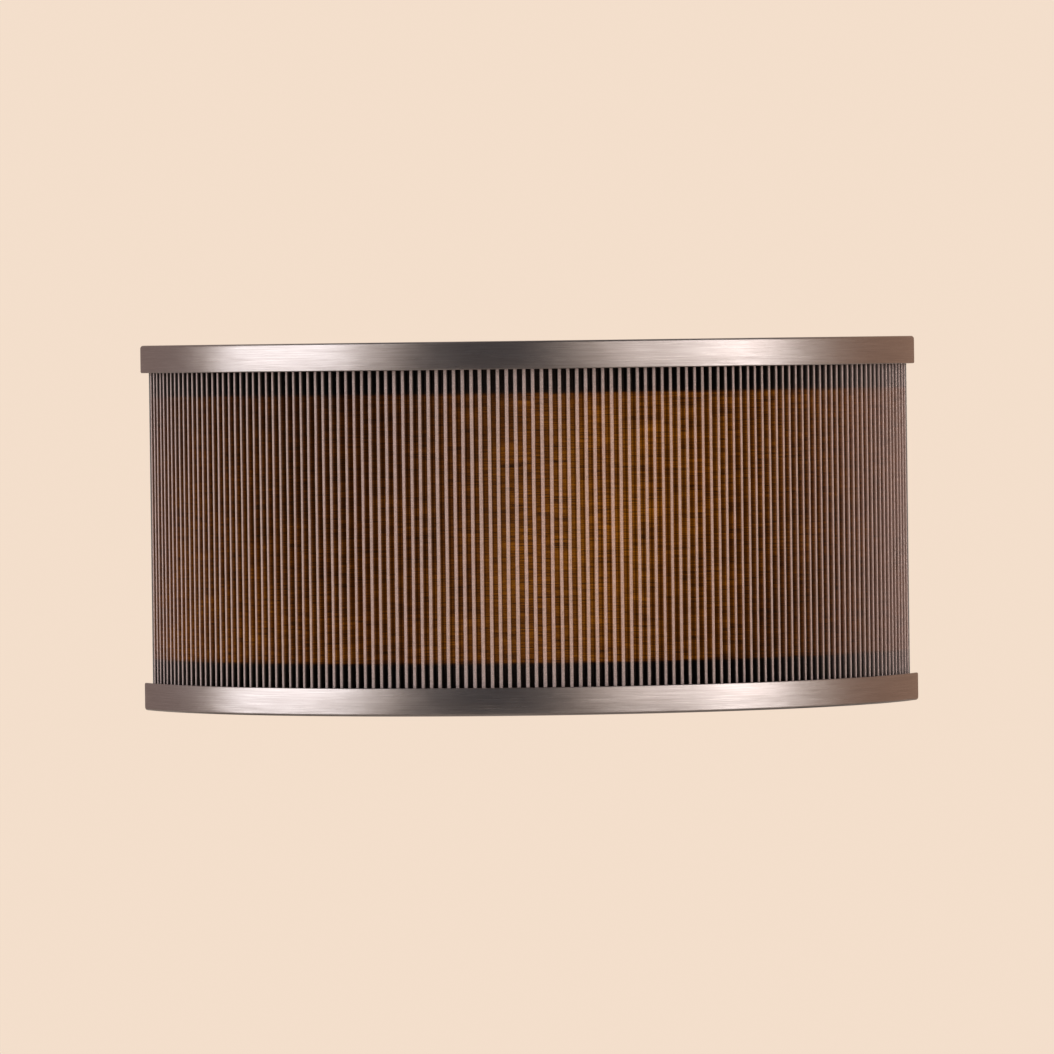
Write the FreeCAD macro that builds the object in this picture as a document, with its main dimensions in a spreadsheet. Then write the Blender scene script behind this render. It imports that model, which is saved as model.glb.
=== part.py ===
import FreeCAD, Part
import Sketcher
import math
import os

# Half-drum wall light: a pleated fabric shade with flat metal trim bands, carried on
# two thumb screws in front of a wall pan, with two lamps in line on a central bracket.
# Millimetres.  +X to the right, +Z up, the wall is the plane Y = 0 and the front faces -Y.
# The origin is the centre of the cable hole in the back face of the wall strap.

doc = FreeCAD.newDocument("PleatedWallLight")
sheet = doc.addObject("Spreadsheet::Sheet", "Sizes")

SIZES = [
    # shade
    ("shade_width", 310.0),
    ("shade_height", 146.0),
    ("shade_projection", 113.0),
    ("wall_gap", 1.0),
    ("trim_height", 11.0),
    ("trim_sheet", 1.2),
    ("trim_edge_bevel", 0.4),
    ("trim_stand_off", 1.3),
    ("flange_overhang", 0.5),
    ("layer_clearance", 0.3),
    ("seat_clearance", 0.2),
    ("pleat_depth", 4.0),
    ("pleat_pitch", 3.44),
    ("pleat_front_land", 1.05),
    ("pleat_rear_land", 1.9),
    ("cloth_thickness", 0.35),
    ("liner_thickness", 0.5),
    ("rim_height", 19.0),
    ("rim_thickness", 1.2),
    ("post_width", 14.0),
    ("post_thickness", 2.0),
    ("tie_height", 9.0),
    # arms that carry the shade
    ("arm_height", 16.0),
    ("arm_sheet", 2.0),
    ("arm_side_gap", 2.0),
    ("arm_inner_bend", 0.8),
    ("arm_tip_margin", 8.0),
    # thumb screws and their press nuts
    ("thumb_inset", 14.0),
    ("thumb_shank_radius", 2.0),
    ("thumb_shank_length", 11.0),
    ("thumb_head_radius", 6.5),
    ("thumb_head_length", 8.0),
    ("thumb_collar_radius", 4.2),
    ("thumb_collar_length", 2.0),
    ("thumb_flute_radius", 1.2),
    ("thumb_flute_count", 10.0),
    ("running_clearance", 0.1),
    ("press_nut_radius", 4.0),
    ("press_nut_flange_radius", 5.5),
    ("press_nut_flange_length", 1.2),
    ("press_nut_length", 9.0),
    # wall pan
    ("pan_side_margin", 23.0),
    ("pan_height", 64.0),
    ("pan_depth", 14.0),
    ("pan_sheet", 1.4),
    ("pan_corner", 10.0),
    ("pan_edge_round", 2.5),
    # wall strap
    ("strap_length", 150.0),
    ("strap_height", 20.0),
    ("strap_sheet", 2.0),
    ("strap_corner", 4.0),
    ("wall_screw_spacing", 90.0),
    ("wall_slot_width", 5.0),
    ("wall_slot_length", 12.0),
    ("earth_offset", 24.0),
    ("bolt_inset", 11.0),
    ("bolt_radius", 2.0),
    ("bolt_tail", 3.5),
    ("cap_nut_flats", 7.0),
    ("cap_nut_height", 3.2),
    ("cap_nut_dome", 2.9),
    # cable inlet
    ("inlet_radius", 6.0),
    ("inlet_bore_radius", 4.0),
    ("inlet_flange_radius", 8.5),
    ("inlet_flange_length", 2.2),
    # terminal block
    ("terminal_width", 34.0),
    ("terminal_height", 13.0),
    ("terminal_depth", 9.6),
    ("terminal_offset", 21.5),
    ("terminal_poles", 3.0),
    ("terminal_wire_radius", 2.0),
    ("terminal_screw_radius", 2.6),
    # lamp bracket
    ("bracket_width", 28.0),
    ("bracket_height", 24.0),
    ("bracket_sheet", 1.5),
    ("bracket_bend", 1.5),
    ("bracket_tip_margin", 12.0),
    ("lamp_standoff", 42.0),
    ("nipple_radius", 5.0),
    ("nipple_bore_radius", 3.5),
    ("nipple_tail", 1.5),
    ("lock_nut_flats", 14.0),
    ("lock_nut_height", 3.0),
    # lampholders
    ("holder_radius", 13.0),
    ("holder_length", 36.0),
    ("holder_base", 6.0),
    ("holder_rib_height", 1.0),
    ("holder_rib_length", 2.5),
    ("holder_neck_radius", 11.0),
    ("holder_neck_length", 7.0),
    ("screw_shell_wall", 0.6),
    ("screw_shell_length", 16.0),
    ("contact_width", 5.0),
    ("contact_sheet", 0.5),
    # lamps
    ("lamp_length", 78.0),
    ("globe_radius", 22.5),
    ("globe_wall", 1.0),
    ("cap_radius", 6.95),
    ("cap_length", 17.0),
    ("cap_skin", 0.35),
    ("insulator_length", 3.2),
    ("tip_radius", 3.2),
    ("tip_length", 1.6),
    ("housing_length", 22.0),
    ("housing_neck_radius", 7.6),
    ("housing_wall", 1.4),
    ("board_thickness", 1.6),
]

for row, (alias, number) in enumerate(SIZES, start=1):
    sheet.set("A%d" % row, alias.replace("_", " "))
    sheet.set("B%d" % row, repr(number))
    sheet.setAlias("B%d" % row, alias)
doc.recompute()


class Size:
    """A length together with the formula that gives it from the sheet."""

    def __init__(self, value, text):
        self.value = value
        self.text = text

    def __add__(self, other):
        other = as_size(other)
        return Size(self.value + other.value, "(%s + %s)" % (self.text, other.text))

    def __sub__(self, other):
        other = as_size(other)
        return Size(self.value - other.value, "(%s - %s)" % (self.text, other.text))

    def __mul__(self, other):
        other = as_size(other)
        return Size(self.value * other.value, "(%s * %s)" % (self.text, other.text))

    def __truediv__(self, other):
        other = as_size(other)
        return Size(self.value / other.value, "(%s / %s)" % (self.text, other.text))

    def __radd__(self, other):
        return as_size(other) + self

    def __rsub__(self, other):
        return as_size(other) - self

    def __rmul__(self, other):
        return as_size(other) * self

    def __neg__(self):
        return Size(-self.value, "(0 - %s)" % self.text)


def as_size(number):
    if isinstance(number, Size):
        return number
    return Size(float(number), "(%.6f)" % number if number < 0 else "%.6f" % number)


def root(size):
    return Size(math.sqrt(size.value), "sqrt(%s)" % size.text)


def cell(alias):
    return Size(float(sheet.get(alias)), "Sizes." + alias)


for alias, number in SIZES:
    globals()[alias] = cell(alias)

# ---------------------------------------------------------------- derived sizes

shade_rise = shade_projection - wall_gap
shade_radius = (shade_width * shade_width / 4 + shade_rise * shade_rise) / (2 * shade_rise)
arc_centre = shade_radius - shade_projection
frame_face = wall_gap + post_thickness
half_height = shade_height / 2
frame_top = half_height - trim_sheet - layer_clearance / 3
cloth_top = half_height - trim_sheet - layer_clearance
cloth_outer = shade_radius - trim_sheet - trim_stand_off
cloth_inner = cloth_outer - pleat_depth
liner_outer = cloth_inner - layer_clearance
liner_inner = liner_outer - liner_thickness
rim_outer = liner_inner - layer_clearance / 2
rim_inner = rim_outer - rim_thickness
flange_inner = rim_inner - flange_overhang


def half_chord(radius, distance):
    """Half width of a shade arc where it is this far in front of the wall."""
    reach = arc_centre + distance
    return root(radius * radius - reach * reach)


post_outer = half_chord(cloth_outer, frame_face)
post_inner = post_outer - post_width
pan_width = shade_width - 2 * pan_side_margin
pan_half = pan_width / 2
pan_front_inside = pan_depth - pan_sheet
arm_back = pan_depth + seat_clearance
arm_front = arm_back + arm_sheet
thumb_x = pan_half - thumb_inset
bolt_x = strap_length / 2 - bolt_inset
thumb_clear_radius = thumb_shank_radius + running_clearance
leg_inner = pan_half + arm_side_gap
leg_outer = leg_inner + arm_sheet
arm_tip = thumb_x - arm_tip_margin
arm_foot_end = half_chord(liner_inner, frame_face + arm_sheet) - layer_clearance
bracket_half = bracket_width / 2
bracket_face = pan_depth + bracket_sheet
lamp_axis = lamp_standoff
nipple_hole_radius = nipple_radius + running_clearance
cap_clear_radius = cap_radius + running_clearance
shell_outer_radius = cap_clear_radius + screw_shell_wall
holder_end = bracket_half + holder_length
lamp_shoulder = tip_length + insulator_length + cap_length
lamp_tip = holder_end + seat_clearance - lamp_shoulder
shell_seat_radius = shell_outer_radius + layer_clearance
globe_neck = lamp_shoulder + housing_length
globe_centre = lamp_length - globe_radius
globe_neck_reach = globe_centre - globe_neck
globe_neck_radius = root(globe_radius * globe_radius - globe_neck_reach * globe_neck_reach)

# ---------------------------------------------------------------- drawing helpers


def bind(thing, prop, size):
    thing.setExpression(prop, as_size(size).text)


def new_body(label):
    body = doc.addObject("PartDesign::Body", label)
    body.Label = label
    return body


def new_sketch(body, name, role):
    sketch = body.newObject("Sketcher::SketchObject", name)
    face = [item for item in body.Origin.OriginFeatures if item.Role == role][0]
    sketch.AttachmentSupport = [(face, "")]
    sketch.MapMode = "FlatFace"
    return sketch


def constrain(sketch, *what):
    """Add one constraint; a Size as the last word becomes its formula."""
    size = what[-1] if isinstance(what[-1], Size) else None
    words = what[:-1] + (size.value,) if size else what
    index = sketch.addConstraint(Sketcher.Constraint(*words))
    if size:
        sketch.setExpression("Constraints[%d]" % index, size.text)


def pin_point(sketch, geometry, end, x, y):
    for kind, axis, number in (("DistanceX", -2, as_size(x)), ("DistanceY", -1, as_size(y))):
        if abs(number.value) < 1e-9:
            constrain(sketch, "PointOnObject", geometry, end, axis)
        else:
            constrain(sketch, kind, -1, 1, geometry, end, number)


def point(x, y):
    return FreeCAD.Vector(as_size(x).value, as_size(y).value, 0)


def draw_polygon(sketch, corners):
    first = sketch.GeometryCount
    count = len(corners)
    for index in range(count):
        start = point(*corners[index])
        end = point(*corners[(index + 1) % count])
        sketch.addGeometry(Part.LineSegment(start, end))
    for index in range(count):
        constrain(sketch, "Coincident", first + index, 2, first + (index + 1) % count, 1)
    for index, (x, y) in enumerate(corners):
        pin_point(sketch, first + index, 1, x, y)


def draw_circle(sketch, x, y, radius):
    geometry = sketch.addGeometry(Part.Circle(point(x, y), FreeCAD.Vector(0, 0, 1), radius.value))
    pin_point(sketch, geometry, 3, x, y)
    constrain(sketch, "Radius", geometry, radius)


def draw_slot(sketch, x, y, length, width):
    """A slot along the sketch's first axis, with round ends."""
    radius = width / 2
    reach = (length - width) / 2
    up = FreeCAD.Vector(0, 0, 1)
    right = Part.Circle(point(x + reach, y), up, radius.value)
    left = Part.Circle(point(x - reach, y), up, radius.value)
    first = sketch.addGeometry(Part.ArcOfCircle(right, -math.pi / 2, math.pi / 2))
    sketch.addGeometry(Part.LineSegment(point(x + reach, y + radius), point(x - reach, y + radius)))
    sketch.addGeometry(Part.ArcOfCircle(left, math.pi / 2, 3 * math.pi / 2))
    sketch.addGeometry(Part.LineSegment(point(x - reach, y - radius), point(x + reach, y - radius)))
    pin_point(sketch, first, 3, x + reach, y)
    pin_point(sketch, first + 2, 3, x - reach, y)
    constrain(sketch, "Radius", first, radius)
    constrain(sketch, "Radius", first + 2, radius)
    for index in range(4):
        constrain(sketch, "Tangent", first + index, 2, first + (index + 1) % 4, 1)


def draw_rounded_rectangle(sketch, width, height, radius):
    """A rectangle about the sketch's origin, with four equal round corners."""
    x = width / 2
    y = height / 2
    cx = x - radius
    cy = y - radius
    up = FreeCAD.Vector(0, 0, 1)
    first = sketch.GeometryCount
    quarter = math.pi / 2
    corners = ((cx, cy, 0), (-cx, cy, 1), (-cx, -cy, 2), (cx, -cy, 3))
    sides = (
        (point(cx, y), point(-cx, y)),
        (point(-x, cy), point(-x, -cy)),
        (point(-cx, -y), point(cx, -y)),
        (point(x, -cy), point(x, cy)),
    )
    for (px, py, turn), (start, end) in zip(corners, sides):
        circle = Part.Circle(point(px, py), up, radius.value)
        sketch.addGeometry(Part.ArcOfCircle(circle, turn * quarter, (turn + 1) * quarter))
        sketch.addGeometry(Part.LineSegment(start, end))
    for index, (px, py, turn) in enumerate(corners):
        pin_point(sketch, first + 2 * index, 3, px, py)
        constrain(sketch, "Radius", first + 2 * index, radius)
    for index in range(8):
        constrain(sketch, "Tangent", first + index, 2, first + (index + 1) % 8, 1)


def pad(body, sketch, length, name="Pad"):
    feature = body.newObject("PartDesign::Pad", name)
    feature.Profile = sketch
    feature.Length = as_size(length).value
    bind(feature, "Length", length)
    return feature


def cut_both_ways(body, sketch, length, name="Pocket"):
    feature = body.newObject("PartDesign::Pocket", name)
    feature.Profile = sketch
    feature.SideType = "Symmetric"
    feature.Length = as_size(length).value
    bind(feature, "Length", length)
    return feature


def turn(body, sketch, name="Revolution"):
    feature = body.newObject("PartDesign::Revolution", name)
    feature.Profile = sketch
    feature.ReferenceAxis = (sketch, ["V_Axis"])
    feature.Angle = 360
    return feature


def picked_edges(base, wanted):
    doc.recompute()
    names = []
    for index, edge in enumerate(base.Shape.Edges, start=1):
        if wanted(edge):
            names.append("Edge%d" % index)
    return (base, names)


def round_edges(body, base, radius, wanted, name="Fillet"):
    """Round every edge of base that the wanted test picks."""
    feature = body.newObject("PartDesign::Fillet", name)
    feature.Base = picked_edges(base, wanted)
    feature.Radius = radius.value
    bind(feature, "Radius", radius)
    return feature


def bevel_edges(body, base, size, wanted, name="Chamfer"):
    """Bevel every edge of base that the wanted test picks."""
    feature = body.newObject("PartDesign::Chamfer", name)
    feature.Base = picked_edges(base, wanted)
    feature.Size = size.value
    bind(feature, "Size", size)
    return feature


def place(thing, x=0, y=0, z=0, axis=None, angle=0):
    if axis is not None:
        turned = FreeCAD.Rotation(axis, angle)
        thing.Placement = FreeCAD.Placement(FreeCAD.Vector(0, 0, 0), turned)
    for word, number in (("x", x), ("y", y), ("z", z)):
        bind(thing, "Placement.Base." + word, number)


def turned_piece(label, profile, **where):
    """A piece turned about its own Z axis from corners (radius, height)."""
    body = new_body(label)
    sketch = new_sketch(body, label + "_profile", "XZ_Plane")
    draw_polygon(sketch, profile)
    turn(body, sketch)
    place(body, **where)
    return body


def hex_corners(flats):
    corners = []
    for index in range(6):
        angle = math.radians(60 * index)
        across = 1 / math.sqrt(3)
        corners.append((flats * (across * math.cos(angle)), flats * (across * math.sin(angle))))
    return corners


def hex_nut(label, flats, height, bore, **where):
    """A plain lock nut on its own Z axis, its seat on the XY plane."""
    body = new_body(label)
    sketch = new_sketch(body, label + "_outline", "XY_Plane")
    draw_polygon(sketch, hex_corners(flats))
    draw_circle(sketch, 0, 0, bore)
    pad(body, sketch, height)
    place(body, **where)
    return body


X_AXIS = FreeCAD.Vector(1, 0, 0)
Y_AXIS = FreeCAD.Vector(0, 1, 0)
NODES = []


def keep(thing):
    NODES.append(thing)
    return thing


# ---------------------------------------------------------------- shade frame


def draw_arc_strip(sketch, outer, inner, back):
    """The plan of a strip bent to the shade's arc, its ends cut parallel to the wall."""
    up = FreeCAD.Vector(0, 0, 1)
    ends = []
    for radius in (outer, inner):
        half = math.acos((arc_centre.value + back.value) / radius.value)
        circle = Part.Circle(point(0, arc_centre), up, radius.value)
        arc = Part.ArcOfCircle(circle, -math.pi / 2 - half, -math.pi / 2 + half)
        ends.append((arc.StartPoint, arc.EndPoint))
        sketch.addGeometry(arc)
    sketch.addGeometry(Part.LineSegment(ends[0][1], ends[1][1]))
    sketch.addGeometry(Part.LineSegment(ends[1][0], ends[0][0]))
    constrain(sketch, "Coincident", 0, 2, 2, 1)
    constrain(sketch, "Coincident", 2, 2, 1, 2)
    constrain(sketch, "Coincident", 1, 1, 3, 1)
    constrain(sketch, "Coincident", 3, 2, 0, 1)
    pin_point(sketch, 0, 3, 0, arc_centre)
    constrain(sketch, "Coincident", 1, 3, 0, 3)
    constrain(sketch, "Radius", 0, outer)
    constrain(sketch, "Radius", 1, inner)
    constrain(sketch, "Horizontal", 2)
    constrain(sketch, "Horizontal", 3)
    constrain(sketch, "DistanceY", -1, 1, 2, 1, -back)
    constrain(sketch, "DistanceY", -1, 1, 3, 1, -back)


def arc_strip(label, outer, inner, bottom, height):
    body = new_body(label)
    sketch = new_sketch(body, label + "_plan", "XY_Plane")
    draw_arc_strip(sketch, outer, inner, frame_face)
    pad(body, sketch, height)
    place(body, z=bottom)
    return body


def trim_band(label, flange_side):
    """An angle section bent to the arc: a face band, and a flange over the pleats' ends."""
    body = new_body(label)
    face = new_sketch(body, label + "_face_plan", "XY_Plane")
    draw_arc_strip(face, shade_radius, shade_radius - trim_sheet, wall_gap)
    pad(body, face, trim_height, "Face_band")
    doc.recompute()
    flange = new_sketch(body, label + "_flange_plan", "XY_Plane")
    draw_arc_strip(flange, shade_radius - trim_sheet / 2, flange_inner, wall_gap)
    lift = trim_height - trim_sheet if flange_side > 0 else as_size(0)
    bind(flange, "AttachmentOffset.Base.z", lift)
    angle = pad(body, flange, trim_sheet, "Flange")
    edge_height = trim_height.value if flange_side > 0 else 0.0

    def outer_corner(edge):
        curve = edge.Curve
        at_edge = abs(edge.BoundBox.ZMin - edge_height) < 1e-6 and edge.BoundBox.ZLength < 1e-6
        return at_edge and isinstance(curve, Part.Circle) and curve.Radius > shade_radius.value - 1e-6

    bevel_edges(body, angle, trim_edge_bevel, outer_corner)
    place(body, z=half_height - trim_height if flange_side > 0 else -half_height)
    return body


keep(trim_band("trim_band_top", 1))
keep(trim_band("trim_band_bottom", -1))
keep(arc_strip("inner_rim_top", rim_outer, rim_inner, frame_top - rim_height, rim_height))
keep(arc_strip("inner_rim_bottom", rim_outer, rim_inner, -frame_top, rim_height))
keep(arc_strip("shade_liner", liner_outer, liner_inner, -cloth_top, 2 * cloth_top))


def frame_bar(label, left, right, bottom, top):
    """A flat bar of the shade's back frame, in the frame's own thickness."""
    body = new_body(label)
    sketch = new_sketch(body, label + "_face", "XZ_Plane")
    draw_polygon(sketch, [(left, bottom), (right, bottom), (right, top), (left, top)])
    pad(body, sketch, post_thickness)
    place(body, y=-wall_gap)
    return body


keep(frame_bar("end_post_left", -post_outer, -post_inner, -frame_top, frame_top))
keep(frame_bar("end_post_right", post_inner, post_outer, -frame_top, frame_top))
keep(frame_bar("rear_tie_top", -post_inner, post_inner, frame_top - tie_height, frame_top))
keep(frame_bar("rear_tie_bottom", -post_inner, post_inner, -frame_top, tie_height - frame_top))

# ---------------------------------------------------------------- pleated cloth


def pleated_cloth():
    """One strip of cloth in box-edged accordion pleats round the arc.

    The path runs front land, wall, rear land, wall for each pleat.  It starts and
    ends where it first comes back to the frame, and is then thickened both ways.
    """
    thick = cloth_thickness.value
    ridge = cloth_outer.value - thick / 2
    valley = cloth_inner.value + thick / 2
    stop = arc_centre.value + frame_face.value + layer_clearance.value
    sweep = 2 * math.acos(stop / ridge)
    arc = sweep * cloth_outer.value
    count = 2 * int(round((arc / pleat_pitch.value - 1) / 2)) + 1
    step = sweep / count
    front = pleat_front_land.value / ridge / 2
    rear = pleat_rear_land.value / valley / 2
    path = []
    for index in range(-(count // 2) - 1, count // 2 + 2):
        middle = index * step
        for radius, angle in (
            (valley, middle - step / 2 + rear),
            (ridge, middle - front),
            (ridge, middle + front),
            (valley, middle + step / 2 - rear),
        ):
            path.append((radius * math.sin(angle), radius * math.cos(angle)))
    kept = trim_to_frame(path, stop)
    outline = thickened(kept, thick)
    corners = [FreeCAD.Vector(x, arc_centre.value - depth, 0) for x, depth in outline]
    corners.append(corners[0])
    height = 2 * cloth_top.value
    solid = Part.Face(Part.makePolygon(corners)).extrude(FreeCAD.Vector(0, 0, height))
    print("pleats", count, "pitch on the ridges", round(step * cloth_outer.value, 3))
    return solid


def trim_to_frame(path, stop):
    """Keep the middle run of the path, cut where it first meets the frame's plane."""
    middle = len(path) // 2
    first = middle
    while first > 0 and path[first - 1][1] > stop:
        first -= 1
    last = middle
    while last < len(path) - 1 and path[last + 1][1] > stop:
        last += 1
    kept = path[first:last + 1]
    ends = []
    for inside, outside in ((path[first], path[first - 1]), (path[last], path[last + 1])):
        share = (inside[1] - stop) / (inside[1] - outside[1])
        ends.append((inside[0] + share * (outside[0] - inside[0]), stop))
    return [ends[0]] + kept + [ends[1]]


def thickened(path, thick):
    """Both sides of a path of this thickness, with mitred corners, as one outline."""
    normals = []
    for (x0, y0), (x1, y1) in zip(path, path[1:]):
        length = math.hypot(x1 - x0, y1 - y0)
        normals.append(((y0 - y1) / length, (x1 - x0) / length))
    sides = ([], [])
    for index, (x, y) in enumerate(path):
        before = normals[max(index - 1, 0)]
        after = normals[min(index, len(normals) - 1)]
        bisector = (before[0] + after[0], before[1] + after[1])
        square = bisector[0] ** 2 + bisector[1] ** 2
        reach = thick / square
        sides[0].append((x + bisector[0] * reach, y + bisector[1] * reach))
        sides[1].append((x - bisector[0] * reach, y - bisector[1] * reach))
    return sides[0] + sides[1][::-1]


cloth = doc.addObject("Part::Feature", "pleated_fabric")
cloth.Label = "pleated_fabric"
cloth.Shape = pleated_cloth()
place(cloth, z=-cloth_top)
keep(cloth)

# ---------------------------------------------------------------- arms and thumb screws


def vertical_edge_at(x, y):
    def wanted(edge):
        line = edge.Vertexes[0].Point - edge.Vertexes[-1].Point
        middle = edge.CenterOfMass
        upright = math.hypot(line.x, line.y) < 1e-6
        return upright and abs(middle.x - x) < 1e-4 and abs(middle.y + y) < 1e-4

    return wanted


def shade_arm(label, side):
    """A strip bent twice, from its foot on the post to its ear on the wall pan."""
    body = new_body(label)
    sketch = new_sketch(body, label + "_plan", "XY_Plane")
    foot_front = frame_face + arm_sheet
    corners = [
        (arm_foot_end, frame_face),
        (leg_inner, frame_face),
        (leg_inner, arm_back),
        (arm_tip, arm_back),
        (arm_tip, arm_front),
        (leg_outer, arm_front),
        (leg_outer, foot_front),
        (arm_foot_end, foot_front),
    ]
    draw_polygon(sketch, [(side * x, -y) for x, y in corners])
    strip = pad(body, sketch, arm_height)
    outer_bend = arm_inner_bend + arm_sheet
    for index, (x, y, radius) in enumerate((
        (leg_inner, frame_face, outer_bend),
        (leg_outer, foot_front, arm_inner_bend),
        (leg_inner, arm_back, arm_inner_bend),
        (leg_outer, arm_front, outer_bend),
    )):
        wanted = vertical_edge_at(side * x.value, y.value)
        strip = round_edges(body, strip, radius, wanted, "Bend%d" % index)
    doc.recompute()
    hole = new_sketch(body, label + "_hole", "XZ_Plane")
    draw_circle(hole, side * thumb_x, arm_height / 2, thumb_clear_radius)
    cut_both_ways(body, hole, 4 * arm_front)
    place(body, z=-arm_height / 2)
    return body


keep(shade_arm("shade_arm_left", -1))
keep(shade_arm("shade_arm_right", 1))


def thumb_screw(label, side):
    """A fluted head, a plain collar under it and the shank behind, along -Y."""
    body = new_body(label)
    sketch = new_sketch(body, label + "_profile", "XZ_Plane")
    head = thumb_collar_length + thumb_head_length
    edge = thumb_head_radius / 8
    draw_polygon(sketch, [
        (0, -thumb_shank_length),
        (thumb_shank_radius, -thumb_shank_length),
        (thumb_shank_radius, 0),
        (thumb_collar_radius, 0),
        (thumb_collar_radius, thumb_collar_length),
        (thumb_head_radius - edge, thumb_collar_length),
        (thumb_head_radius, thumb_collar_length + edge),
        (thumb_head_radius, head - edge),
        (thumb_head_radius - edge, head),
        (0, head),
    ])
    turn(body, sketch)
    doc.recompute()
    flute = new_sketch(body, label + "_flute", "XY_Plane")
    draw_circle(flute, thumb_head_radius + thumb_flute_radius / 3, 0, thumb_flute_radius)
    groove = cut_both_ways(body, flute, 4 * head, "Flute")
    pattern = body.newObject("PartDesign::PolarPattern", "Flutes")
    pattern.Originals = [groove]
    pattern.Axis = (flute, ["N_Axis"])
    pattern.Angle = 360
    pattern.Occurrences = int(thumb_flute_count.value)
    bind(pattern, "Occurrences", thumb_flute_count)
    body.Tip = pattern
    place(body, x=side * thumb_x, y=-arm_front, axis=X_AXIS, angle=90)
    return body


keep(thumb_screw("thumb_screw_left", -1))
keep(thumb_screw("thumb_screw_right", 1))


def press_nut(label, side):
    """A threaded bush pressed into the pan's front from inside, flange against it."""
    body = turned_piece(label, [
        (thumb_clear_radius, 0),
        (press_nut_radius, 0),
        (press_nut_radius, pan_sheet),
        (press_nut_flange_radius, pan_sheet),
        (press_nut_flange_radius, pan_sheet + press_nut_flange_length),
        (press_nut_radius, pan_sheet + press_nut_flange_length),
        (press_nut_radius, press_nut_length),
        (thumb_clear_radius, press_nut_length),
    ], x=side * thumb_x, y=-pan_depth, axis=X_AXIS, angle=-90)
    return body


keep(press_nut("press_nut_left", -1))
keep(press_nut("press_nut_right", 1))

# ---------------------------------------------------------------- wall pan and strap

pan = new_body("wall_pan")
pan_outline = new_sketch(pan, "pan_outline", "XZ_Plane")
draw_rounded_rectangle(pan_outline, pan_width, pan_height, pan_corner)
pan_block = pad(pan, pan_outline, pan_depth)


def front_edge(edge):
    return abs(edge.BoundBox.YMin + pan_depth.value) < 1e-4 and edge.BoundBox.YLength < 1e-4


round_edges(pan, pan_block, pan_edge_round, front_edge)
doc.recompute()
pan_inside = new_sketch(pan, "pan_inside", "XZ_Plane")
draw_rounded_rectangle(pan_inside, pan_width - 2 * pan_sheet, pan_height - 2 * pan_sheet,
                       pan_corner - pan_sheet)
cut_both_ways(pan, pan_inside, 2 * pan_front_inside, "Hollow")
doc.recompute()
pan_holes = new_sketch(pan, "pan_holes", "XZ_Plane")
draw_circle(pan_holes, 0, 0, nipple_hole_radius)
for side in (-1, 1):
    draw_circle(pan_holes, side * thumb_x, 0, press_nut_radius)
    draw_circle(pan_holes, side * bolt_x, 0, bolt_radius + running_clearance)
cut_both_ways(pan, pan_holes, 4 * pan_depth, "Holes")
keep(pan)

strap = new_body("wall_strap")
strap_face = new_sketch(strap, "strap_face", "XZ_Plane")
draw_rounded_rectangle(strap_face, strap_length, strap_height, strap_corner)
draw_circle(strap_face, 0, 0, inlet_radius)
for side in (-1, 1):
    draw_slot(strap_face, side * wall_screw_spacing / 2, as_size(0), wall_slot_length,
              wall_slot_width)
    draw_circle(strap_face, side * bolt_x, 0, bolt_radius)
draw_circle(strap_face, earth_offset, 0, bolt_radius)
pad(strap, strap_face, strap_sheet)
keep(strap)


def strap_bolt(label, side):
    """A bolt pressed into the strap, flush behind, its tail out through the pan."""
    length = pan_depth + bolt_tail
    return turned_piece(label, [(0, 0), (bolt_radius, 0), (bolt_radius, length), (0, length)],
                        x=side * bolt_x, axis=X_AXIS, angle=90)


keep(strap_bolt("strap_bolt_left", -1))
keep(strap_bolt("strap_bolt_right", 1))


def cap_nut(label, side):
    """A hexagon with a dome on it, blind, closing the pan onto the strap."""
    body = new_body(label)
    outline = new_sketch(body, label + "_outline", "XY_Plane")
    draw_polygon(outline, hex_corners(cap_nut_flats))
    hexagon = pad(body, outline, cap_nut_height)
    doc.recompute()
    dome = new_sketch(body, label + "_dome", "XZ_Plane")
    top = cap_nut_height + cap_nut_dome
    draw_polygon(dome, [
        (0, 0),
        (cap_nut_dome, 0),
        (cap_nut_dome, cap_nut_height + cap_nut_dome * 0.35),
        (cap_nut_dome * 0.5, top),
        (0, top),
    ])
    turn(body, dome, "Dome")
    doc.recompute()
    hole = new_sketch(body, label + "_hole", "XY_Plane")
    draw_circle(hole, 0, 0, bolt_radius)
    cut_both_ways(body, hole, 2 * bolt_tail + 2 * running_clearance, "Blind_hole")
    place(body, x=side * bolt_x, y=-pan_depth, axis=X_AXIS, angle=90)
    return body


keep(cap_nut("cap_nut_left", -1))
keep(cap_nut("cap_nut_right", 1))

keep(turned_piece("cable_inlet_bush", [
    (inlet_bore_radius, 0),
    (inlet_radius, 0),
    (inlet_radius, strap_sheet),
    (inlet_flange_radius, strap_sheet),
    (inlet_flange_radius - inlet_flange_length * 0.4, strap_sheet + inlet_flange_length),
    (inlet_bore_radius, strap_sheet + inlet_flange_length),
], axis=X_AXIS, angle=90))

keep(turned_piece("earth_screw", [
    (0, 0),
    (bolt_radius, 0),
    (bolt_radius, strap_sheet),
    (bolt_radius * 2, strap_sheet),
    (bolt_radius * 1.7, strap_sheet + bolt_radius * 1.3),
    (0, strap_sheet + bolt_radius * 1.3),
], x=earth_offset, axis=X_AXIS, angle=90))

# ---------------------------------------------------------------- terminal block

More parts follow.
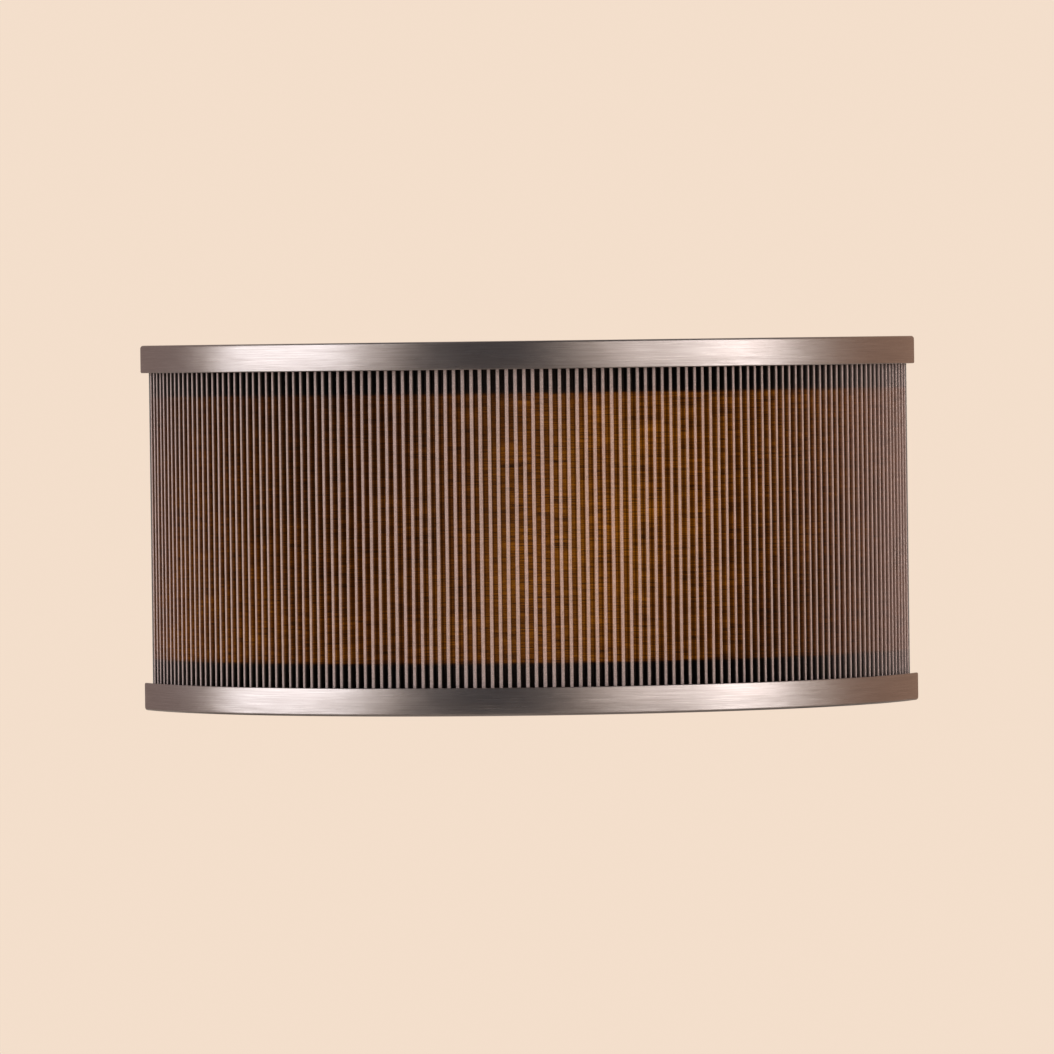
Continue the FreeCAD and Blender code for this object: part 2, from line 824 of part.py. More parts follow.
block = new_body("terminal_block")
block_face = new_sketch(block, "block_face", "XZ_Plane")
block_bottom = terminal_offset - terminal_height / 2
block_top = terminal_offset + terminal_height / 2
draw_polygon(block_face, [
    (-terminal_width / 2, block_bottom),
    (terminal_width / 2, block_bottom),
    (terminal_width / 2, block_top),
    (-terminal_width / 2, block_top),
])
pad(block, block_face, terminal_depth)
doc.recompute()
pole_pitch = terminal_width / terminal_poles
wire_holes = new_sketch(block, "wire_holes", "XY_Plane")
screw_holes = new_sketch(block, "screw_holes", "XZ_Plane")
for index in range(int(terminal_poles.value)):
    place_x = pole_pitch * (index - (terminal_poles.value - 1) / 2)
    draw_circle(wire_holes, place_x, -terminal_depth / 2, terminal_wire_radius)
    draw_circle(screw_holes, place_x, terminal_offset, terminal_screw_radius)
cut_both_ways(block, wire_holes, 4 * block_top, "Wire_ways")
doc.recompute()
cut_both_ways(block, screw_holes, terminal_depth * 0.7, "Screw_wells")
place(block, y=terminal_depth - pan_front_inside)
keep(block)

# ---------------------------------------------------------------- lamp bracket

bracket = new_body("lamp_bracket")
bracket_plan = new_sketch(bracket, "bracket_plan", "XY_Plane")
bracket_tip = lamp_axis + bracket_tip_margin
bracket_inner = bracket_half - bracket_sheet
draw_polygon(bracket_plan, [
    (-bracket_half, -pan_depth),
    (bracket_half, -pan_depth),
    (bracket_half, -bracket_tip),
    (bracket_inner, -bracket_tip),
    (bracket_inner, -bracket_face),
    (-bracket_inner, -bracket_face),
    (-bracket_inner, -bracket_tip),
    (-bracket_half, -bracket_tip),
])
bent = pad(bracket, bracket_plan, bracket_height)
for index, side in enumerate((-1, 1)):
    outer_corner = vertical_edge_at(side * bracket_half.value, pan_depth.value)
    bent = round_edges(bracket, bent, bracket_bend + bracket_sheet, outer_corner,
                       "Outer_bend%d" % index)
    inner_corner = vertical_edge_at(side * bracket_inner.value, bracket_face.value)
    bent = round_edges(bracket, bent, bracket_bend, inner_corner, "Inner_bend%d" % index)


def ear_corner(edge):
    line = edge.Vertexes[0].Point - edge.Vertexes[-1].Point
    middle = edge.CenterOfMass
    across = math.hypot(line.y, line.z) < 1e-6 and abs(line.x) > 1e-3
    return across and abs(middle.y + bracket_tip.value) < 1e-4


round_edges(bracket, bent, bracket_height / 2 - bracket_sheet, ear_corner, "Ear_rounds")
doc.recompute()
ear_holes = new_sketch(bracket, "ear_holes", "YZ_Plane")
draw_circle(ear_holes, -lamp_axis, bracket_height / 2, nipple_hole_radius)
cut_both_ways(bracket, ear_holes, 2 * bracket_width, "Ear_holes")
doc.recompute()
base_hole = new_sketch(bracket, "base_hole", "XZ_Plane")
draw_circle(base_hole, 0, bracket_height / 2, nipple_hole_radius)
cut_both_ways(bracket, base_hole, 2 * bracket_face + bracket_sheet, "Base_hole")
place(bracket, z=-bracket_height / 2)
keep(bracket)


def nipple(label, length, **where):
    """A hollow threaded tube, drawn plain."""
    return turned_piece(label, [
        (nipple_bore_radius, 0),
        (nipple_radius, 0),
        (nipple_radius, length),
        (nipple_bore_radius, length),
    ], **where)


nut_bore = nipple_radius
base_tail = lock_nut_height + nipple_tail
base_back = pan_front_inside - base_tail
base_length = 2 * base_tail + pan_sheet + bracket_sheet
keep(nipple("base_nipple", base_length, y=-base_back, axis=X_AXIS, angle=90))
keep(hex_nut("base_nut_front", lock_nut_flats, lock_nut_height, nut_bore,
             y=-bracket_face, axis=X_AXIS, angle=90))
keep(hex_nut("base_nut_back", lock_nut_flats, lock_nut_height, nut_bore,
             y=-pan_front_inside, axis=X_AXIS, angle=-90))

# ---------------------------------------------------------------- lampholders and lamps

for name, side in (("left", -1), ("right", 1)):
    outward = dict(axis=Y_AXIS, angle=90 * side)
    nipple_start = bracket_inner - base_tail
    nipple_length = base_tail + bracket_sheet + holder_base - nipple_tail
    keep(nipple("holder_nipple_" + name, nipple_length,
                x=side * nipple_start, y=-lamp_axis, **outward))
    keep(hex_nut("holder_nut_" + name, lock_nut_flats, lock_nut_height, nut_bore,
                 x=side * (bracket_inner - lock_nut_height), y=-lamp_axis, **outward))

    rib = holder_radius + holder_rib_height
    rib_start = holder_length - 3 * holder_rib_length
    keep(turned_piece("lampholder_" + name, [
        (nut_bore, 0),
        (holder_neck_radius, 0),
        (holder_neck_radius, holder_neck_length),
        (holder_radius, holder_neck_length + holder_rib_length),
        (holder_radius, rib_start),
        (rib, rib_start),
        (rib, rib_start + holder_rib_length),
        (holder_radius, rib_start + holder_rib_length),
        (holder_radius, holder_length),
        (shell_seat_radius, holder_length),
        (shell_seat_radius, holder_base),
        (nut_bore, holder_base),
    ], x=side * bracket_half, y=-lamp_axis, **outward))

    shell_start = holder_length - screw_shell_length - holder_rib_length
    keep(turned_piece("screw_shell_" + name, [
        (cap_clear_radius, 0),
        (shell_outer_radius, 0),
        (shell_outer_radius, screw_shell_length),
        (cap_clear_radius, screw_shell_length),
    ], x=side * (bracket_half + shell_start), y=-lamp_axis, **outward))

    contact = new_body("centre_contact_" + name)
    plan = new_sketch(contact, "contact_plan_" + name, "XZ_Plane")
    half = root(shell_seat_radius * shell_seat_radius - contact_width * contact_width / 4)
    half = half - layer_clearance
    flat = contact_sheet
    crown = lamp_tip - bracket_half - holder_base - seat_clearance
    draw_polygon(plan, [
        (nut_bore + contact_sheet, 0),
        (half, 0),
        (half, flat),
        (nut_bore + contact_sheet * 2, flat),
        (contact_width / 2, crown),
        (-contact_width / 2, crown),
        (-contact_width / 2, crown - flat),
        (contact_width / 2 - contact_sheet, crown - flat),
    ])
    pad(contact, plan, contact_width)
    lift = contact_width / 2
    place(contact, x=side * (bracket_half + holder_base), y=-lamp_axis + lift, **outward)
    keep(contact)

    lamp = dict(x=side * lamp_tip, y=-lamp_axis, **outward)
    cap_start = tip_length + insulator_length
    cap_end = lamp_shoulder
    neck_in = cap_radius - cap_skin
    keep(turned_piece("lamp_tip_" + name, [
        (0, 0),
        (tip_radius * 0.6, 0),
        (tip_radius, tip_length * 0.6),
        (tip_radius, tip_length),
        (0, tip_length),
    ], **lamp))
    keep(turned_piece("lamp_insulator_" + name, [
        (0, tip_length),
        (tip_radius + cap_skin, tip_length),
        (neck_in, cap_start),
        (0, cap_start),
    ], **lamp))
    keep(turned_piece("lamp_cap_" + name, [
        (0, cap_start),
        (neck_in, cap_start),
        (cap_radius, cap_start + cap_skin * 2),
        (cap_radius, cap_end),
        (0, cap_end),
    ], **lamp))
    inner_neck = globe_neck_radius - housing_wall
    rise = (globe_neck_radius - housing_neck_radius) / 4
    board_floor = globe_neck - board_thickness
    keep(turned_piece("lamp_housing_" + name, [
        (0, cap_end),
        (housing_neck_radius, cap_end),
        (housing_neck_radius, cap_end + housing_length * 0.15),
        (housing_neck_radius + rise, cap_end + housing_length * 0.35),
        (housing_neck_radius + rise * 2.3, cap_end + housing_length * 0.6),
        (housing_neck_radius + rise * 3.4, cap_end + housing_length * 0.85),
        (globe_neck_radius, globe_neck),
        (inner_neck, globe_neck),
        (inner_neck, board_floor),
        (0, board_floor),
    ], **lamp))
    keep(turned_piece("lamp_board_" + name, [
        (0, board_floor),
        (inner_neck - running_clearance, board_floor),
        (inner_neck - running_clearance, globe_neck),
        (0, globe_neck),
    ], **lamp))

    outside = doc.addObject("Part::Sphere", "globe_outside_" + name)
    inside = doc.addObject("Part::Sphere", "globe_inside_" + name)
    bind(outside, "Radius", globe_radius)
    bind(inside, "Radius", globe_radius - globe_wall)
    for ball in (outside, inside):
        place(ball, z=globe_centre)
    below = doc.addObject("Part::Cylinder", "globe_mouth_" + name)
    bind(below, "Radius", 2 * globe_radius)
    bind(below, "Height", globe_neck + globe_radius)
    place(below, z=-globe_radius)
    hollow = doc.addObject("Part::Cut", "globe_shell_" + name)
    hollow.Base = outside
    hollow.Tool = inside
    globe = doc.addObject("Part::Cut", "lamp_globe_" + name)
    globe.Base = hollow
    globe.Tool = below
    globe.Label = "lamp_globe_" + name
    place(globe, **lamp)
    keep(globe)

# ---------------------------------------------------------------- checks and export

doc.recompute()
for item in doc.Objects:
    if "Invalid" in item.State or "Error" in item.State:
        raise RuntimeError("not built: " + item.Name)

os.makedirs("parts", exist_ok=True)
labels = set()
for item in NODES:
    shape = item.Shape
    if shape.isNull() or not shape.isValid() or len(shape.Solids) != 1:
        raise RuntimeError("not one valid solid: " + item.Label)
    if item.Label in labels:
        raise RuntimeError("label used twice: " + item.Label)
    labels.add(item.Label)

for item in NODES:
    item.Shape.exportStep("parts/" + item.Label + ".step")
print("pieces", len(NODES))
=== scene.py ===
"""Finishes, fine detail, camera and light of a wall light with a pleated half-drum shade.

Lengths are in metres, and in millimetres inside the materials. The front faces -Y and +Z is up.
"""

import math

import bmesh
import bpy
import numpy as np
from mathutils import Matrix, Vector


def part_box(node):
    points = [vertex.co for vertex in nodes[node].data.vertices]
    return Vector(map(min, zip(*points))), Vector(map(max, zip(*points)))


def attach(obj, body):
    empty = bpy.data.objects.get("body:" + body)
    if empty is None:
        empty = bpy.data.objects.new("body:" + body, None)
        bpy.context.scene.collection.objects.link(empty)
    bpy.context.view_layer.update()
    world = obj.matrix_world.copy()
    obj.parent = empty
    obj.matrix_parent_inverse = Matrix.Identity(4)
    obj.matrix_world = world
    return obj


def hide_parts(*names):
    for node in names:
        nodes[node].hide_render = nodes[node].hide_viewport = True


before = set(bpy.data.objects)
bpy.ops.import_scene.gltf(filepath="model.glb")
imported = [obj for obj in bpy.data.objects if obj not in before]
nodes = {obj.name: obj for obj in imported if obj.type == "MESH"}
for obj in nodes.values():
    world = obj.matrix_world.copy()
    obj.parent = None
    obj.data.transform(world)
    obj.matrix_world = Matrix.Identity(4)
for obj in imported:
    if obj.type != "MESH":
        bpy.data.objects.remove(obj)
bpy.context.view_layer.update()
dice = np.random.default_rng(41)

# ------------------------------------------------------------------ sizes

MM = 1000.0
SIDES = ("left", "right")
LEVELS = ("top", "bottom")


def corners(node):
    """A node's lowest and highest corner, in metres, to a micrometre."""
    return [[round(v, 6) for v in corner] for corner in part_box(node)]


def middle(node):
    """The middle of a node's box in millimetres, as x, y, z.

    A tenth is near enough: it puts the middle of a faceted round part on its true axis.
    """
    return [round((low + high) / 2 * MM, 1) for low, high in zip(*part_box(node))]


def both(stem, words=SIDES):
    """The names of a pair of nodes."""
    return [stem + "_" + word for word in words]


band_low, band_high = corners("trim_band_top")
OUTER = 0.16325                         # radius of the trim bands' outer face
PROJECTION = 0.113                      # from the wall to the front of the bands
ARC_Y = OUTER - PROJECTION              # the shade's axis is this far behind the wall
WALL_GAP = -band_high[1]                # between the wall and the ends of the bands
HALF = band_high[2]                     # half the shade's height
BAND = HALF - band_low[2]               # height of a band's face
SHEET = 0.0012                          # thickness of a band
STAND_OFF = 0.0013                      # between a band and the fronts of the pleats
PLEAT_DEPTH = 0.004
FLANGE_PAST = 0.00265                   # a band's flange reaches this far past the pleats
RIDGE = OUTER - SHEET - STAND_OFF       # radius of the pleats' fronts
VALLEY = RIDGE - PLEAT_DEPTH            # and of the folds between them
LIP = VALLEY - FLANGE_PAST              # inner edge of a band's flange
RIM_EDGE = corners("inner_rim_top")[0][2]        # height where the unlit rims begin
CLOTH_HALF = corners("pleated_fabric")[1][2]     # half the cloth's height

# ------------------------------------------------------------------ shader helpers


class Nodes:
    """A node tree, and the short calls that its nodes are made with."""

    def __init__(self, tree):
        self.tree = tree
        tree.nodes.clear()

    def put(self, socket, value):
        """Links an output to a socket, or sets the socket to a plain value."""
        if isinstance(value, bpy.types.NodeSocket):
            self.tree.links.new(value, socket)
        elif isinstance(value, (tuple, list)) and len(value) == 3 and socket.type == "RGBA":
            socket.default_value = (*value, 1.0)
        else:
            socket.default_value = value

    def feed(self, node, *values):
        """Fills a node's first inputs in their order, and returns its first output."""
        for socket, value in zip(node.inputs, values):
            self.put(socket, value)
        return node.outputs[0]

    def add(self, kind, props=None, **inputs):
        """A new node. Its inputs are named as on the node, with _ for a space."""
        node = self.tree.nodes.new(kind)
        for key, value in (props or {}).items():
            setattr(node, key, value)
        for key, value in inputs.items():
            self.put(node.inputs[key.replace("_", " ")], value)
        return node

    def calc(self, operation, a, b=0.0):
        return self.feed(self.add("ShaderNodeMath", {"operation": operation}), a, b)

    def plus(self, a, b):
        return self.calc("ADD", a, b)

    def minus(self, a, b):
        return self.calc("SUBTRACT", a, b)

    def times(self, a, b):
        return self.calc("MULTIPLY", a, b)


class Shader(Nodes):
    """A material. Its patterns go by the place on the object, in millimetres."""

    def __init__(self, name):
        self.mat = bpy.data.materials.new(name)
        self.mat.use_nodes = True
        super().__init__(self.mat.node_tree)
        scale = self.add("ShaderNodeVectorMath", {"operation": "SCALE"}, Scale=MM)
        self.place = self.feed(scale, self.add("ShaderNodeTexCoord").outputs["Object"])

    def xyz(self):
        return self.add("ShaderNodeSeparateXYZ", Vector=self.place).outputs

    def join(self, x, y, z):
        return self.add("ShaderNodeCombineXYZ", X=x, Y=y, Z=z).outputs[0]

    def grey(self, value):
        return self.join(value, value, value)

    def stretch(self, place, scales):
        """A place with each of its three parts scaled by itself."""
        return self.join(*[self.times(part, scale) for part, scale in zip(place, scales)])

    def drum(self):
        """Arc length round the shade, distance from its axis, x and height."""
        x, y, z = self.xyz()
        depth = self.minus(ARC_Y * MM, y)
        angle = self.calc("ARCTAN2", x, depth)
        radius = self.calc("SQRT", self.plus(self.times(x, x), self.times(depth, depth)))
        return self.times(angle, OUTER * MM), radius, x, z

    def facing(self):
        """1 where the surface faces straight out from the shade's axis, 0 on a pleat's walls."""
        x, y, _ = self.xyz()
        outward = self.feed(self.add("ShaderNodeVectorMath", {"operation": "NORMALIZE"}),
                            self.join(x, self.minus(y, ARC_Y * MM), 0.0))
        dot = self.add("ShaderNodeVectorMath", {"operation": "DOT_PRODUCT"})
        self.feed(dot, outward, self.add("ShaderNodeNewGeometry").outputs["Normal"])
        return self.calc("ABSOLUTE", dot.outputs["Value"])

    def noise(self, place, scale=1.0, detail=2.0, rough=0.5, twist=0.0):
        return self.add("ShaderNodeTexNoise", Vector=place, Scale=scale, Detail=detail,
                        Roughness=rough, Distortion=twist).outputs[0]

    def ramp(self, value, *stops):
        """Colours along a value; each stop is its place and its colour."""
        node = self.add("ShaderNodeValToRGB")
        elements = node.color_ramp.elements
        while len(elements) < len(stops):
            elements.new(0.5)
        for element, (place, colour) in zip(elements, stops):
            element.position = place
            element.color = (*colour, 1.0)
        return self.feed(node, value)

    def span(self, value, a, b, low=0.0, high=1.0, smooth=False):
        """low at a and high at b, straight or eased between them and level outside."""
        kind = "SMOOTHSTEP" if smooth else "LINEAR"
        return self.feed(self.add("ShaderNodeMapRange", {"interpolation_type": kind}),
                         value, a, b, low, high)

    def mix(self, share, a, b, kind="MIX"):
        node = self.add("ShaderNodeMix", {"data_type": "RGBA", "blend_type": kind})
        colour_a, colour_b, result = node.inputs[6], node.inputs[7], node.outputs[2]
        self.put(node.inputs[0], share)
        self.put(colour_a, a)
        self.put(colour_b, b)
        return result

    def bump(self, height, distance, normal=None):
        node = self.add("ShaderNodeBump", Strength=1.0, Distance=distance, Height=height)
        if normal is not None:
            self.put(node.inputs["Normal"], normal)
        return node.outputs[0]

    def finish(self, node):
        """Ends the material in this shader node."""
        self.add("ShaderNodeOutputMaterial", Surface=node.outputs[0])
        return self.mat

    def surface(self, **inputs):
        return self.finish(self.add("ShaderNodeBsdfPrincipled", **inputs))


# ------------------------------------------------------------------ metals

ZINC = ((0.43, 0.47, 0.51), (0.57, 0.62, 0.66))
BRASS = ((0.56, 0.40, 0.17), (0.74, 0.57, 0.28))
SATIN_NICKEL = ((0.34, 0.31, 0.285), (0.44, 0.41, 0.385))
BRIGHT_NICKEL = ((0.46, 0.43, 0.40), (0.62, 0.59, 0.55))
ALUMINIUM = ((0.56, 0.56, 0.57), (0.74, 0.74, 0.74))
LAMP_PITCH = 2.8                        # of the lamps' screw threads, in millimetres
LAMP_THREAD = 0.0012                    # how deep those threads look


def brushed_nickel():
    """Antique nickel, brushed along the band."""
    s = Shader("trim_brushed_nickel")
    arc, radius, _, z = s.drum()
    place = (arc, radius, z)
    hair = s.noise(s.stretch(place, (0.030, 1.2, 4.2)), detail=4.0, rough=0.66)
    fine = s.noise(s.stretch(place, (0.10, 2.0, 13.0)))
    cloud = s.noise(s.stretch(place, (0.03, 0.05, 0.12)))
    streak = s.plus(s.times(hair, 0.65), s.times(fine, 0.35))
    colour = s.ramp(streak, (0.32, (0.250, 0.226, 0.225)), (0.50, (0.335, 0.310, 0.315)),
                    (0.68, (0.430, 0.408, 0.418)))
    worn = s.mix(s.span(cloud, 0.35, 0.7), colour, (0.93, 0.915, 0.905), "MULTIPLY")
    return s.surface(Base_Color=worn, Metallic=1.0, Roughness=s.span(streak, 0.25, 0.75, 0.33, 0.25),
                     Normal=s.bump(cloud, 0.0004, s.bump(streak, 0.00005)))


def zinc_plate():
    """Blue-passivated zinc plate: faint patches and drawn lines."""
    s = Shader("zinc_plate")
    cells = s.add("ShaderNodeTexVoronoi", Vector=s.place, Scale=0.28).outputs["Color"]
    patch = s.add("ShaderNodeSeparateColor", Color=cells).outputs[0]
    drawn = s.noise(s.stretch(s.xyz(), (0.05, 1.5, 3.0)), detail=3.0, rough=0.6)
    tone = s.plus(s.times(patch, 0.12), s.times(drawn, 0.88))
    colour = s.ramp(tone, (0.25, (0.43, 0.48, 0.52)), (0.50, (0.53, 0.59, 0.635)),
                    (0.75, (0.61, 0.67, 0.71)))
    return s.surface(Base_Color=colour, Metallic=1.0, Roughness=s.span(tone, 0.2, 0.8, 0.40, 0.28),
                     Normal=s.bump(drawn, 0.00003))


def turned_metal(name, tones, way, place, rough, pitch=None, thread=0.00048):
    """Turned metal: fine rings round the axis that runs along way, X or Y, through place.

    With a pitch it also has a thread, with painted shade in its grooves.
    """
    s = Shader(name)
    x, y, z = s.xyz()
    middle_x, middle_y, middle_z = place
    along, across, off = (x, y, middle_y) if way == "X" else (y, x, middle_x)
    around = s.calc("ARCTAN2", s.minus(z, middle_z), s.minus(across, off))
    rings = s.noise(s.join(s.times(along, 5.0), s.times(around, 0.6), 0.0), detail=3.0, rough=0.6)
    cloud = s.noise(s.place, 0.25)
    low, high = tones
    colour = s.mix(s.span(rings, 0.3, 0.7), low, high)
    colour = s.mix(s.span(cloud, 0.4, 0.8, 0.0, 0.5), colour, low)
    normal = s.bump(rings, 0.00003)
    if pitch:
        turns = s.plus(s.calc("DIVIDE", along, pitch), s.calc("DIVIDE", around, 2 * math.pi))
        tooth = s.calc("ABSOLUTE", s.minus(s.calc("FRACT", turns), 0.5))
        normal = s.bump(tooth, thread, normal)
        # painted shade: the thread's grooves are darkened
        colour = s.mix(s.span(tooth, 0.0, 0.16, 0.55, 0.0), colour, (0.10, 0.09, 0.08))
    return s.surface(Base_Color=colour, Metallic=1.0, Roughness=rough, Normal=normal)


# ------------------------------------------------------------------ paint, plastic, rubber and glass


def satin_paint(name, base, dark, rough, grain=2.2, depth=0.00003, metallic=0.0):
    """Powder coat or satin plate: faint orange peel and slow changes of tone."""
    s = Shader(name)
    peel = s.noise(s.place, grain)
    cloud = s.noise(s.place, 0.045, detail=3.0, rough=0.55)
    wear = s.noise(s.place, 0.15, detail=3.0, rough=0.6)
    return s.surface(Base_Color=s.mix(s.span(cloud, 0.3, 0.75), base, dark), Metallic=metallic,
                     Roughness=s.span(wear, 0.3, 0.75, rough - 0.06, rough + 0.07),
                     Normal=s.bump(peel, depth))


def moulded(name, base, dark, rough, inner_light=0.0):
    """Injection-moulded plastic: fine texture and slow mottling."""
    s = Shader(name)
    spark = s.noise(s.place, 3.5, rough=0.6)
    cloud = s.noise(s.place, 0.072, detail=3.0)
    return s.surface(Base_Color=s.mix(s.span(cloud, 0.3, 0.75), base, dark),
                     Roughness=s.span(spark, 0.3, 0.7, rough - 0.05, rough + 0.06),
                     Normal=s.bump(spark, 0.00002), Subsurface_Weight=inner_light,
                     Subsurface_Radius=(0.002, 0.0015, 0.001), Subsurface_Scale=1.0)


def rubber():
    """Black rubber with a little dust on it."""
    s = Shader("inlet_rubber")
    dust = s.noise(s.place, 1.4, detail=4.0, rough=0.65)
    colour = s.ramp(dust, (0.35, (0.018, 0.018, 0.019)), (0.65, (0.045, 0.044, 0.043)),
                    (0.85, (0.085, 0.082, 0.078)))
    return s.surface(Base_Color=colour, Roughness=s.span(dust, 0.3, 0.7, 0.55, 0.75),
                     Normal=s.bump(dust, 0.00004))


def opal_glass():
    """Opal lamp globe, lit: warmer and dimmer towards its neck."""
    s = Shader("opal_globe")
    neck, bright_from = 70.0, 92.0
    haze = s.noise(s.place, 0.12, detail=3.0)
    outward = s.span(s.calc("ABSOLUTE", s.xyz()[0]), neck, bright_from)
    light = s.plus(outward, s.times(s.minus(haze, 0.5), 0.18))
    emit = s.ramp(light, (0.0, (0.62, 0.31, 0.10)), (0.35, (0.88, 0.55, 0.25)),
                  (1.0, (1.0, 0.72, 0.42)))
    base = s.mix(s.span(haze, 0.3, 0.7), (0.56, 0.53, 0.48), (0.50, 0.47, 0.42))
    return s.surface(Base_Color=base, Roughness=0.22, Emission_Color=emit, Emission_Strength=1.15,
                     Coat_Weight=0.3, Coat_Roughness=0.08, Normal=s.bump(haze, 0.00005))


# ------------------------------------------------------------------ cloth and film

FRONTS = RIDGE * MM                     # the same places in millimetres
BACKS = VALLEY * MM
RIM = RIM_EDGE * MM
GLOW = 0.36                             # lamp light all over the shade, which these change
GLOW_LOBES = (
    # share, x and z of its middle, its reach in x and z, its lean
    (0.48, 34.0, 4.0, 52.0, 80.0, 0.25),         # brightest a little right of the middle
    (0.21, -98.0, -46.0, 50.0, 34.0, 0.0),       # then low on the left
    (0.11, 112.0, 32.0, 36.0, 42.0, 0.0),        # and high on the right
    (-0.17, -120.0, 60.0, 95.0, 34.0, 0.0),      # darker high on the left
    (-0.12, -156.0, 0.0, 16.0, 200.0, 0.0),      # and at both ends
    (-0.15, 150.0, 0.0, 40.0, 200.0, 0.0),
)


def glow_field(s, x, z):
    """How much lamp light reaches the shade at each place, 0 to about 1."""
    total = GLOW
    for share, middle_x, middle_z, reach_x, reach_z, lean in GLOW_LOBES:
        up = s.minus(z, middle_z)
        aside = s.minus(s.minus(x, middle_x), s.times(up, lean))
        aside = s.calc("DIVIDE", aside, reach_x)
        up = s.calc("DIVIDE", up, reach_z)
        away = s.plus(s.times(aside, aside), s.times(up, up))
        bell = s.calc("EXPONENT", s.times(away, -1.0))
        total = s.plus(total, s.times(bell, share))
    return total


def cloth_colour_and_painted_shade(s, tone, radius, x):
    """The cloth's colour, with painted shade deep in the recesses and on the pleats' walls, lighter
    on the walls near the right end as painted daylight.
    """
    base = s.ramp(tone, (0.32, (0.370, 0.283, 0.267)), (0.50, (0.510, 0.393, 0.372)),
                  (0.68, (0.640, 0.503, 0.477)))
    # painted shade: the cloth darkens towards the bottom of each recess
    painted_recess_shade = s.span(radius, FRONTS - 1.25, FRONTS - 0.15, 0.13, 1.0, smooth=True)
    # painted daylight: towards the right end the walls' painted shade eases from 0.20 to 0.65
    on_walls = s.span(x, 85.0, 135.0, 0.20, 0.65, smooth=True)
    # painted shade on the pleats' walls, where the surface turns aside from the shade's axis
    walls = s.span(s.facing(), 0.45, 0.95, on_walls, 1.0, smooth=True)
    return s.mix(1.0, base, s.grey(s.times(painted_recess_shade, walls)), "MULTIPLY")


def cloth_glow(s, weave, thread, arc, radius, x, z):
    """Lamp light through the cloth: most where the weave is thin, and none in front of the rims."""
    blotch = s.noise(s.stretch((arc, 0.0, z), (0.045, 1.0, 0.075)), detail=3.0)
    knots = s.plus(s.times(weave, 0.84), s.times(thread, 0.16))
    through = s.times(s.span(knots, 0.39, 0.61, 0.05, 2.05), s.span(blotch, 0.3, 0.7, 0.72, 1.26))
    even = s.span(radius, FRONTS - 0.75, FRONTS - 0.25, 0.0, 0.6, smooth=True)
    through = s.plus(s.times(through, s.minus(1.0, even)), even)
    height = s.calc("ABSOLUTE", z)
    between_rims = s.span(height, RIM - 0.8, RIM + 0.4, 1.0, 0.0, smooth=True)
    on_walls = s.times(s.span(radius, BACKS + 0.15, BACKS + 0.75, 0.0, 1.0, smooth=True),
                       s.span(radius, FRONTS - 1.95, FRONTS - 0.65, 1.0, 0.0, smooth=True))
    layers = s.span(on_walls, 0.0, 1.0, 1.04, 0.45)
    glow = s.times(s.times(s.times(glow_field(s, x, z), through), layers), between_rims)
    amber = s.mix(s.span(glow, 0.1, 1.0), (0.128, 0.0290, 0.0004), (0.158, 0.0500, 0.0008))
    return s.mix(1.0, amber, s.grey(glow), "MULTIPLY")


def slub_cloth():
    """Slubby woven cloth, lit from outside, with lamp light coming through it."""
    s = Shader("pleated_cloth")
    arc, radius, x, z = s.drum()
    slub = s.noise(s.stretch((arc, 0.0, z), (0.055, 1.0, 1.35)), rough=0.65, twist=0.25)
    weft = s.noise(s.stretch((arc, 0.0, z), (0.17, 1.0, 2.7)), rough=0.6, twist=0.4)
    thread = s.noise(s.stretch((arc, radius, z), (2.0, 2.0, 2.6)), rough=0.6)
    weave = s.plus(s.times(slub, 0.55), s.times(weft, 0.45))
    tone = s.plus(s.times(weave, 0.3), s.times(thread, 0.7))
    return s.surface(Base_Color=cloth_colour_and_painted_shade(s, tone, radius, x), Roughness=0.85,
                     Emission_Color=cloth_glow(s, weave, thread, arc, radius, x, z),
                     Emission_Strength=1.0, Normal=s.bump(tone, 0.00012), Specular_IOR_Level=0.2)


def backing_film():
    """Translucent backing film, ribbed faintly from top to bottom."""
    s = Shader("backing_film")
    arc, radius, _, z = s.drum()
    cloud = s.noise(s.stretch((arc, radius, z), (0.08, 0.1, 0.1)), detail=3.0, rough=0.55)
    lines = s.noise(s.stretch((arc, radius, z), (1.6, 0.1, 0.03)), rough=0.6)
    colour = s.mix(s.span(cloud, 0.3, 0.75), (0.80, 0.60, 0.38), (0.70, 0.48, 0.27))
    colour = s.mix(s.span(lines, 0.4, 0.7, 0.0, 0.35), colour, (0.58, 0.38, 0.20))
    return s.surface(Base_Color=colour, Roughness=s.span(cloud, 0.3, 0.7, 0.42, 0.55),
                     Normal=s.bump(lines, 0.00004))


# ------------------------------------------------------------------ finishes of the nodes


def dress(mat, *names):
    """These nodes take this material."""
    for name in names:
        slots = nodes[name].data.materials
        slots.clear()
        slots.append(mat)


def dress_shade():
    pewter = satin_paint("frame_pewter", (0.30, 0.28, 0.27), (0.25, 0.232, 0.222), rough=0.40)
    dress(backing_film(), "shade_liner")
    dress(pewter, *both("inner_rim", LEVELS), *both("rear_tie", LEVELS), *both("end_post"),
          *both("shade_arm"))
    for name in both("thumb_screw"):
        dress(turned_metal(name + "_satin", SATIN_NICKEL, "Y", middle(name), rough=0.3), name)


